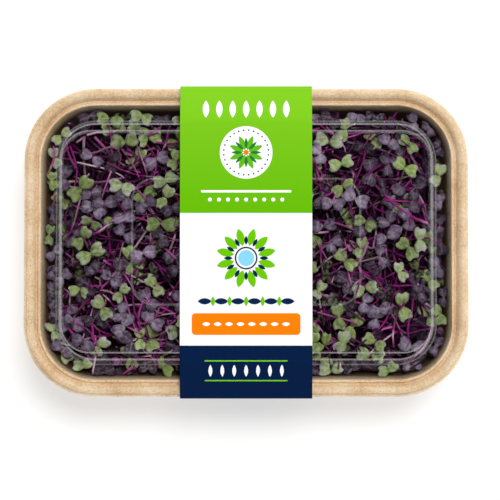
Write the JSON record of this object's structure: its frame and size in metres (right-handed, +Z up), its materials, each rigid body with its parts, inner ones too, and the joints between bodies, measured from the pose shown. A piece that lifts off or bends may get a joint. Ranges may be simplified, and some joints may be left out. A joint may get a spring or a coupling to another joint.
{
  "type": "microgreens tray",
  "caption": "Moulded-fibre tray with round corners, filled with cut red cabbage microgreens, under a clear pressed-on lid with a stacking ridge, held in a card sleeve.",
  "frame": {"origin": "centre of the pack's underside, on the surface that it rests on", "axes": "+X along the tray, +Y across it towards the top of the sleeve's design, +Z up"},
  "size_m": [0.173, 0.1216, 0.0481],
  "materials": {
    "fibre": "matte moulded plant fibre",
    "clear": "clear glossy sheet",
    "card": "satin printed card",
    "green_sprouts": "soft satin leaf",
    "purple_sprouts": "soft satin leaf"
  },
  "bodies": {
    "root": {"tray": "fibre", "lid": "clear", "sleeve": "card", "sprouts_01": "green_sprouts", "sprouts_02": "green_sprouts", "sprouts_03": "purple_sprouts", "sprouts_04": "purple_sprouts", "sprouts_05": "purple_sprouts", "sprouts_06": "green_sprouts", "sprouts_07": "green_sprouts", "sprouts_08": "purple_sprouts", "sprouts_09": "purple_sprouts", "sprouts_10": "purple_sprouts", "sprouts_11": "green_sprouts", "sprouts_12": "green_sprouts", "sprouts_13": "purple_sprouts", "sprouts_14": "purple_sprouts", "sprouts_15": "purple_sprouts", "sprouts_16": "green_sprouts", "sprouts_17": "green_sprouts", "sprouts_18": "purple_sprouts", "sprouts_19": "purple_sprouts", "sprouts_20": "purple_sprouts", "sprouts_21": "green_sprouts", "sprouts_22": "green_sprouts", "sprouts_23": "purple_sprouts", "sprouts_24": "purple_sprouts", "sprouts_25": "purple_sprouts", "sprouts_26": "green_sprouts", "sprouts_27": "green_sprouts", "sprouts_28": "purple_sprouts"}
  },
  "joints": []
}
